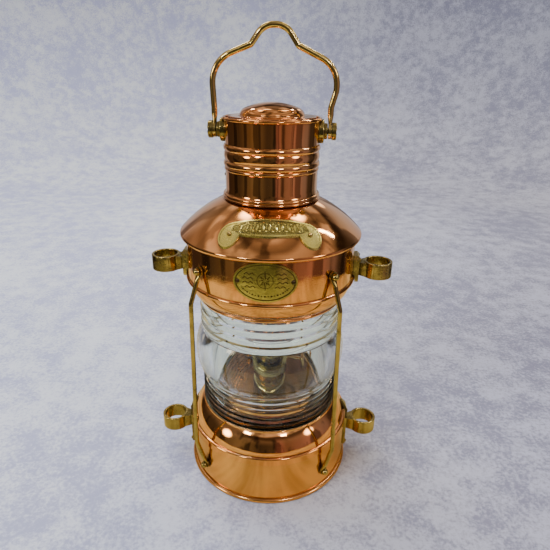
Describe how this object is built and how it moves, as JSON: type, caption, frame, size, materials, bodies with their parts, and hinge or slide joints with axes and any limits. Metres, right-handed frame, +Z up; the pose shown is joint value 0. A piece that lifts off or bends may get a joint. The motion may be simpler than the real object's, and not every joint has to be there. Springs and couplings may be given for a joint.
{
  "type": "ship anchor lantern",
  "caption": "Copper ship's anchor lamp with ribbed drum lens, guard rods, side guide eyes, carrying bail and an oil font with wick burner that drops out of the base.",
  "frame": {"origin": "centre of the foot's underside", "axes": "+Z up, the front with the name plates faces -Y, +X to the right seen from the front"},
  "size_m": [0.2246, 0.162, 0.4101],
  "materials": {
    "copper": "polished copper",
    "brass": "polished, lightly tarnished brass",
    "plate_brass": "satin brass plate",
    "dark_metal": "blackened steel screw",
    "glass": "clear moulded glass",
    "gasket": "dark seal",
    "cork": "cork",
    "cotton": "woven cotton wick"
  },
  "bodies": {
    "lantern_body": {"arched_plate": "plate_brass", "arched_plate_rivets": "brass", "base_band": "copper", "base_shoulder": "copper", "chimney_lower_tube": "copper", "chimney_screw": "dark_metal", "chimney_upper_collar": "copper", "dome_shell": "copper", "glass_top_ring": "copper", "guard_rod_back_left": "brass", "guard_rod_back_right": "brass", "guard_rod_front_left": "brass", "guard_rod_front_right": "brass", "guard_studs_lower": "brass", "guard_studs_upper": "brass", "guide_eye_lower_left": "brass", "guide_eye_lower_right": "brass", "guide_eye_rivets": "brass", "guide_eye_upper_left": "brass", "guide_eye_upper_right": "brass", "lens_glass": "glass", "lid_dome": "copper", "lid_stays": "copper", "lower_gasket": "gasket", "oval_plate": "plate_brass", "oval_plate_screws": "dark_metal", "pivot_boss_left": "brass", "pivot_boss_right": "brass", "pivot_screw_left": "brass", "pivot_screw_right": "brass", "smoke_funnel": "copper", "upper_band": "copper", "upper_gasket": "gasket"},
    "handle": {"bail": "brass"},
    "font": {"font_tray": "copper", "tray_knob": "brass", "tray_springs": "brass", "font_tank": "copper", "font_top": "copper", "font_collar": "brass", "filler_neck": "brass", "burner_basket": "brass", "burner_deck": "brass", "burner_cone": "brass", "wick_tube": "brass"},
    "cap_seal": {"filler_seal": "cork"},
    "filler_cap": {"filler_cap": "brass"},
    "wick_knob": {"knob_spindle": "brass", "spur_wheels": "brass", "knob_wheel": "brass"},
    "wick": {"wick": "cotton"}
  },
  "joints": [
    {"name": "handle_swing", "type": "hinge", "parent": "lantern_body", "child": "handle", "pos_m": [0, 0, 0.33], "axis": [1, 0, 0], "range_deg": [-136, 136]},
    {"name": "font_drop", "type": "slide", "parent": "lantern_body", "child": "font", "axis": [0, 0, -1], "range_m": [0, 0.14]},
    {"name": "filler_cap_lift", "type": "slide", "parent": "font", "child": "cap_seal", "axis": [0, 0, 1], "range_m": [0, 0.003]},
    {"name": "filler_cap_turn", "type": "hinge", "parent": "cap_seal", "child": "filler_cap", "pos_m": [-0.026, 0.026, 0.085], "axis": [0, 0, 1], "range_deg": [0, 720]},
    {"name": "wick_knob_turn", "type": "hinge", "parent": "font", "child": "wick_knob", "pos_m": [0, 0.00635, 0.095], "axis": [-1, 0, 0], "range_deg": [-60, 120]},
    {"name": "wick_raise", "type": "slide", "parent": "font", "child": "wick", "axis": [0, 0, 1], "range_m": [-0.0053, 0.0106]}
  ],
  "couplings": [
    {"joint": "filler_cap_lift", "follows": "filler_cap_turn", "m_per_rad": 0.00023849},
    {"joint": "wick_raise", "follows": "wick_knob_turn", "m_per_rad": 0.005}
  ]
}
